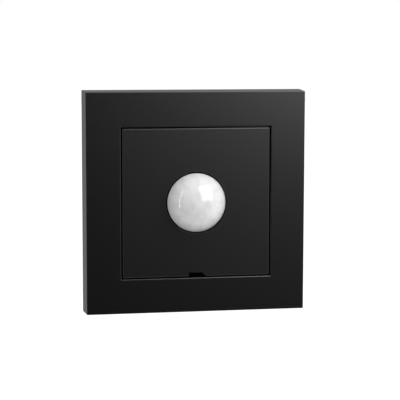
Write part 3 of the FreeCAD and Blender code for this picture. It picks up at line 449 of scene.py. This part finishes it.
def buildDome():
    size = lensSizes
    sphere = (size["radius"] ** 2 + size["height"] ** 2) / (2 * size["height"])
    centre = size["front"] + size["height"] - sphere
    inner, bore = sphere - size["wall"], size["radius"] - size["wall"]

    def arc(radius, edge):
        # from the apex down to where the sphere is edge millimetres from the axis
        last, count = math.asin(edge / radius), size["arcSteps"]
        return [(radius * math.sin(last * i / count), centre + radius * math.cos(last * i / count))
                for i in range(count + 1)]

    outline = arc(sphere, size["radius"]) + [
        (size["radius"], size["seat"]), (size["flangeRadius"], size["seat"]),
        (size["flangeRadius"], size["flangeBack"]), (bore, size["flangeBack"])] + arc(inner, bore)[::-1]
    shape = bmesh.new()
    spinOutline(shape, outline, size["steps"])
    middle = Vector((0, -centre * mm, 0))
    for vert in shape.verts:
        arm = vert.co - middle
        behind = -vert.co.y / mm < size["front"] - size["lensStart"]
        if arm.length > (inner + size["margin"]) * mm or behind:
            continue
        # each small lens is thickest in its middle and meets its neighbours at a sharp seam
        start = 0.0
        reach = math.hypot(vert.co.x, vert.co.z) / mm
        for edge, count, phase in size["lensRings"]:
            if reach < edge:
                break
            start = edge
        turn = math.degrees(math.atan2(vert.co.z, vert.co.x)) - phase
        across = 2 * abs(turn * count / 360 - round(turn * count / 360))
        along = abs(2 * (reach - start) / (edge - start) - 1)
        bulge = size["lensBulge"] * (1 - along ** 2) * (1 - across ** 2)
        vert.co -= arm.normalized() * bulge * mm
    mesh = finishMesh(shape, "lens_dome", size["smoothAngle"])
    addPiece("lens_dome", mesh, "milky_plastic", "centre_plate", "lens")


print("dome")
buildDome()


# The insert's larger pieces are copies of the solids with their moulded and stamped marks cut in.
carving = {
    "grooveSteps": 24,      # points round each shape
    "discSteps": 48,
    "cornerSteps": 6,
    "rimSteps": 3,
    "flatAngle": 0.5,       # degrees, below which neighbouring faces are one flat
    "onPlane": 0.001,       # mm
    "longEdge": 2.0,        # mm, shorter edges stay sharp
}


def turnAbout(shape, verts, degrees, axis):
    turn = Matrix.Rotation(math.radians(degrees), 3, axis)
    bmesh.ops.rotate(shape, verts=verts, cent=(0, 0, 0), matrix=turn)


def addGroove(shape, place, length, width, depth, turn=0.0):
    # a flattened ball drawn out along its length, its middle on the surface
    around = carving["grooveSteps"]
    verts = bmesh.ops.create_uvsphere(shape, u_segments=around, v_segments=around // 2,
                                      radius=width / 2 * mm)["verts"]
    turnAbout(shape, verts, 180 / around, "Z")      # half a step, so that no point lies on the middle
    for vert in verts:
        vert.co.x += math.copysign((length - width) / 2 * mm, vert.co.x)
    bmesh.ops.scale(shape, verts=verts, vec=(1, 2 * depth / width, 1))
    turnAbout(shape, verts, turn, "Y")
    bmesh.ops.translate(shape, verts=verts, vec=Vector(place) * mm)


def addDisc(shape, place, radius, depth):
    verts = bmesh.ops.create_cone(shape, cap_ends=True, cap_tris=False, segments=carving["discSteps"],
                                  radius1=radius * mm, radius2=radius * mm, depth=2 * depth * mm)["verts"]
    turnAbout(shape, verts, 90, "X")
    bmesh.ops.translate(shape, verts=verts, vec=Vector(place) * mm)


def addField(shape, place, width, height, depth, corner=0.0, turn=0.0):
    verts = bmesh.ops.create_cube(shape, size=1.0)["verts"]
    bmesh.ops.scale(shape, verts=verts, vec=(width * mm, 2 * depth * mm, height * mm))
    turnAbout(shape, verts, turn, "Y")
    bmesh.ops.translate(shape, verts=verts, vec=Vector(place) * mm)
    if corner:
        upright = [edge for edge in set(edge for vert in verts for edge in vert.link_edges)
                   if abs(edge.verts[0].co.y - edge.verts[1].co.y) > depth * mm]
        bmesh.ops.bevel(shape, geom=upright, offset=corner * mm, offset_type="OFFSET",
                        segments=carving["cornerSteps"], profile=0.5, affect="EDGES", material=-1)


def mergeFlats(shape):
    bmesh.ops.remove_doubles(shape, verts=shape.verts, dist=weld)
    bmesh.ops.dissolve_limit(shape, angle_limit=math.radians(carving["flatAngle"]), verts=shape.verts,
                             edges=shape.edges)


def copySolid(node):
    shape = bmesh.new()
    shape.from_mesh(frame["nodes"][node].data)
    mergeFlats(shape)
    return shape


def carve(name, node, slotName, solid, marks, relief=None):
    # the relief is added to the solid, the marks are cut out of it, and the result stands for the node
    parts = [bpy.data.objects.new(name + "_whole", finishMesh(solid, name + "_whole"))]
    for operation, tool in (("UNION", relief), ("DIFFERENCE", marks)):
        if tool:
            parts.append(bpy.data.objects.new(name + "_tool", finishMesh(tool, name + "_tool")))
            modifier = parts[0].modifiers.new(operation, "BOOLEAN")
            modifier.operation = operation
            modifier.solver = "EXACT"
            modifier.object = parts[-1]
    for part in parts:
        bpy.context.scene.collection.objects.link(part)
    bpy.context.view_layer.update()
    carved = bpy.data.meshes.new_from_object(parts[0].evaluated_get(bpy.context.evaluated_depsgraph_get()))
    for part in parts:
        bpy.data.objects.remove(part)
    shape = bmesh.new()
    shape.from_mesh(carved)
    mergeFlats(shape)
    bmesh.ops.holes_fill(shape, edges=shape.edges, sides=0)
    piece = addPiece(name, finishMesh(shape, name), slotName, "insert", node)
    flats = piece.modifiers.new("flats", "WEIGHTED_NORMAL")     # keeps the flats flat beside rounded edges
    flats.keep_sharp = True
    flats.weight = 100


def roundRim(shape, planes, rounding):
    # rounds the long edges where two of the planes meet; a plane is an axis and where it lies on it
    def lies(edge, axis, value):
        return all(abs(vert.co[axis] - value) < carving["onPlane"] * mm for vert in edge.verts)

    rim = [edge for edge in shape.edges if edge.calc_length() > carving["longEdge"] * mm
           and sum(lies(edge, axis, value) for axis, value in planes) == 2]
    bmesh.ops.bevel(shape, geom=rim, offset=rounding * mm, offset_type="OFFSET",
                    segments=carving["rimSteps"], profile=0.5, affect="EDGES", material=-1)


# mm; reach is how far out a groove lies from the ring's middle, along how far it lies to one side
ringMarks = {
    "reach": 31.0,        # the grooves beside a box screw
    "along": 14.5,
    "length": 15.0,
    "sideReach": 32.3,
    "sideAlong": 16.5,
    "cornerReach": 25.8,  # both across and up
    "cornerLength": 11.0,
    "width": 2.2,
    "depth": 0.5,
    "thick": 1.0,         # of the plate
}


def buildRing():
    # each stamped groove in the rear stands out at the front
    size = ringMarks
    marks, relief = bmesh.new(), bmesh.new()
    for shape, y in ((marks, 0), (relief, -size["thick"])):
        for side in (-1, 1):
            for end in (-1, 1):
                place = (side * size["along"], y, end * size["reach"])
                addGroove(shape, place, size["length"], size["width"], size["depth"])
                place = (side * size["sideReach"], y, end * size["sideAlong"])
                addGroove(shape, place, size["length"], size["width"], size["depth"], 90)
                place = (side * size["cornerReach"], y, end * size["cornerReach"])
                addGroove(shape, place, size["cornerLength"], size["width"], size["depth"], side * end * 45)
    carve("ring_plate", "support_ring", "zinc_steel", copySolid("support_ring"), marks, relief)


housingMarks = {
    "rear": 22.0,         # where its flat rear lies
    "field": (27.0, 13.5, 0.35, 1.6),     # a recess: width, height, depth and corner
    "fieldRise": 6.5,
    "pinRadius": 1.6,     # marks of the mould's ejector pins
    "pinDepth": 0.15,
    "pins": ((-17.0, 14.0), (17.0, 14.0), (-8.0, 20.5), (8.0, 20.5)),
    "gate": (0.0, 18.0),  # where the plastic was let in
    "gateRadius": 1.1,
    "gateDepth": 0.30,
}


def buildHousing():
    size = housingMarks
    marks = bmesh.new()
    addField(marks, (0, size["rear"], size["fieldRise"]), *size["field"])
    for x, z in size["pins"]:
        addDisc(marks, (x, size["rear"], z), size["pinRadius"], size["pinDepth"])
    x, z = size["gate"]
    addDisc(marks, (x, size["rear"], z), size["gateRadius"], size["gateDepth"])
    carve("housing_cup", "insert_housing", "grey_plastic", copySolid("insert_housing"), marks)


blockMarks = {
    "count": 4,
    "rear": 33.0,
    "pitch": 8.0,
    "drop": 13.7,         # the screws' height below the middle
    "lipRadius": 3.1,
    "lipDepth": 0.5,
    "slot": (0.7, 9.0, 0.6),    # between two terminals: width, height and depth
    "rounding": 0.45,
}


def buildBlock():
    size = blockMarks
    solid = copySolid("terminal_block")
    low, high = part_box("terminal_block")
    planes = ((0, low.x), (0, high.x), (1, high.y), (2, low.z), (2, high.z))
    roundRim(solid, planes, size["rounding"])
    marks = bmesh.new()
    for index in range(size["count"]):
        x = (index - (size["count"] - 1) / 2) * size["pitch"]
        addDisc(marks, (x, size["rear"], -size["drop"]), size["lipRadius"], size["lipDepth"])
        if index < size["count"] - 1:
            addField(marks, (x + size["pitch"] / 2, size["rear"], -size["drop"]), *size["slot"])
    carve("clamp_block", "terminal_block", "grey_plastic", solid, marks)


carrierMarks = {
    "front": -5.0,
    "side": 21.0,         # half of the tray's width
    "rounding": 0.5,
    "dials": (-11.0, 0.0, 11.0),
    "dialRise": -15.9,
    "lipRadius": 3.3,     # a shallow step round each dial
    "lipDepth": 0.3,
    "tickCircle": 4.1,
    "tick": (0.32, 0.9, 0.25),    # width, length and depth
    "ticks": 7,
    "turn": 135.0,        # degrees that a dial turns to each side
}


def buildCarrier():
    size = carrierMarks
    solid = copySolid("sensor_carrier")
    side = size["side"] * mm
    planes = ((0, -side), (0, side), (1, size["front"] * mm), (2, -side), (2, side))
    roundRim(solid, planes, size["rounding"])
    marks = bmesh.new()
    for x in size["dials"]:
        addDisc(marks, (x, size["front"], size["dialRise"]), size["lipRadius"], size["lipDepth"])
        for step in range(size["ticks"]):
            angle = size["turn"] * (2 * step / (size["ticks"] - 1) - 1)
            place = (x + size["tickCircle"] * math.sin(math.radians(angle)), size["front"],
                     size["dialRise"] + size["tickCircle"] * math.cos(math.radians(angle)))
            addField(marks, place, *size["tick"], turn=angle)
    carve("carrier_tray", "sensor_carrier", "grey_plastic", solid, marks)


print("insert")
buildRing()
buildHousing()
buildBlock()
buildCarrier()


cameraSetup = {
    "place": (-92.6, -523.9, 61.4),   # mm from the middle of the frame's rear
    "turn": -10.35,                   # degrees: left of straight ahead is positive, up is positive
    "tilt": -6.60,
    "roll": -0.10,
    "focalPixels": 1436.5,
    "imagePixels": 400.0,
    "sensor": 36.0,
    "clip": (0.01, 50),               # metres
}


def addCamera():
    setup = cameraSetup
    data = bpy.data.cameras.new("camera")
    data.sensor_width = setup["sensor"]
    data.lens = setup["focalPixels"] / setup["imagePixels"] * setup["sensor"]
    data.clip_start, data.clip_end = setup["clip"]
    camera = bpy.data.objects.new("camera", data)
    turns = Matrix.Identity(4)
    for angle, axis in ((setup["turn"], "Z"), (setup["tilt"], "X"), (setup["roll"], "Y"), (90, "X")):
        turns = turns @ Matrix.Rotation(math.radians(angle), 4, axis)
    camera.matrix_world = Matrix.Translation(Vector(setup["place"]) * mm) @ turns
    bpy.context.scene.collection.objects.link(camera)
    bpy.context.scene.camera = camera


# towards is the direction to the lamp, distance and size are metres, roll degrees and power watts
lamps = {
    "softbox": {
        "towards": (0.522, -0.63, 0.572), "distance": 0.365, "size": (0.305, 0.38),
        "roll": -8.0, "power": 1.17,
    },
    "strip": {
        "towards": (-0.91, -0.35, 0.18), "distance": 0.50, "size": (0.050, 0.50),
        "roll": 0.0, "power": 0.29,
    },
    "fill": {
        "towards": (0.80, -0.35, -0.48), "distance": 0.70, "size": (0.45, 0.45),
        "roll": 0.0, "power": 0.6,
    },
    "overhead": {
        "towards": (0.05, 0.35, 0.97), "distance": 0.80, "size": (0.90, 0.60),
        "roll": 0.0, "power": 1.5,
    },
}


def addLamps():
    for name, setup in lamps.items():
        data = bpy.data.lights.new(name, "AREA")
        data.shape = "RECTANGLE"
        data.size, data.size_y = setup["size"]
        data.energy = setup["power"]
        lamp = bpy.data.objects.new(name, data)
        towards = Vector(setup["towards"]).normalized()
        lamp.location = towards * setup["distance"]
        lamp.rotation_mode = "QUATERNION"
        facing = (-towards).to_track_quat("-Z", "Y")
        lamp.rotation_quaternion = facing @ Quaternion((0, 0, 1), math.radians(setup["roll"]))
        bpy.context.scene.collection.objects.link(lamp)


# sizes are metres; a gloss value is the share of white that mirror-like surfaces see there
backdrop = {
    "ambient": 0.52,
    "frontGloss": 0.0,        # a dark room in front of the wall
    "backGloss": 0.40,
    "floorGloss": 0.0,        # of the floor behind the wall
    "glossStart": -0.1,       # where along Y the dark room ends, and where the white behind is full
    "glossEnd": 0.5,
    "floorDrop": 0.30,        # below the object
    "floorSize": 4.0,
    "floorBack": 3.75,
    "floorColour": (0.82, 0.82, 0.82),
    "floorRoughness": (0.7, 0.8),
    "floorPatch": 40.0,       # mm
    "floorGlow": 0.70,
}


def whiteShare(tree, forward, backGloss):
    # how white the camera, glass and mirrors see the backdrop, and 1 for the rays that light the object
    path = addNode(tree, "LightPath")
    seen = maths(tree, "MAXIMUM", path.outputs["Is Camera Ray"], path.outputs["Is Transmission Ray"])
    start, end = backdrop["glossStart"], backdrop["glossEnd"]
    behind = soften(tree, forward, start, end, backdrop["frontGloss"], backGloss)
    glossy = path.outputs["Is Glossy Ray"]
    plain = maths(tree, "SUBTRACT", 1.0, maths(tree, "MAXIMUM", seen, glossy))
    return maths(tree, "MAXIMUM", seen, maths(tree, "MULTIPLY", behind, glossy)), plain


def addWorld():
    world = bpy.data.worlds.new("studio")
    bpy.context.scene.world = world
    world.use_nodes = True
    world.cycles.sampling_method = "NONE"     # so that each ray sees the strength meant for its kind
    tree = world.node_tree
    background = tree.nodes["Background"]
    forward = axes(tree, addNode(tree, "TexCoord").outputs["Generated"])[1]
    white, plain = whiteShare(tree, forward, backdrop["backGloss"])
    strength = maths(tree, "ADD", white, maths(tree, "MULTIPLY", plain, backdrop["ambient"]))
    feedAll(tree, background, {"Strength": strength, "Color": (1.0, 1.0, 1.0, 1.0)})


def addFloor():
    shape = bmesh.new()
    bmesh.ops.create_grid(shape, x_segments=1, y_segments=1, size=backdrop["floorSize"])
    place = (0, backdrop["floorBack"], cadBox[0].z - backdrop["floorDrop"])
    bmesh.ops.translate(shape, verts=shape.verts, vec=place)
    mesh = bpy.data.meshes.new("floor")
    shape.to_mesh(mesh)
    shape.free()
    floor = bpy.data.objects.new("floor", mesh)
    bpy.context.scene.collection.objects.link(floor)
    material, tree, shader, where = startMaterial("pale_floor")
    feed(tree, shader, "Base Color", shade(backdrop["floorColour"]))
    patches = cloud(tree, where, backdrop["floorPatch"])
    feed(tree, shader, "Roughness", remap(tree, patches, *backdrop["floorRoughness"]))
    white = whiteShare(tree, axes(tree, where)[1], backdrop["floorGloss"])[0]
    glow = addNode(tree, "Emission")
    feedAll(tree, glow, {"Color": (1.0, 1.0, 1.0, 1.0),
                         "Strength": maths(tree, "MULTIPLY", white, backdrop["floorGlow"])})
    total = addNode(tree, "AddShader")
    feedAll(tree, total, {0: shader.outputs[0], 1: glow.outputs[0]})
    output = next(node for node in tree.nodes if node.type == "OUTPUT_MATERIAL")
    feed(tree, output, "Surface", total.outputs[0])
    mesh.materials.append(material)


print("camera, lamps and backdrop")
addCamera()
addLamps()
addWorld()
addFloor()
bpy.context.scene.view_settings.view_transform = "Standard"
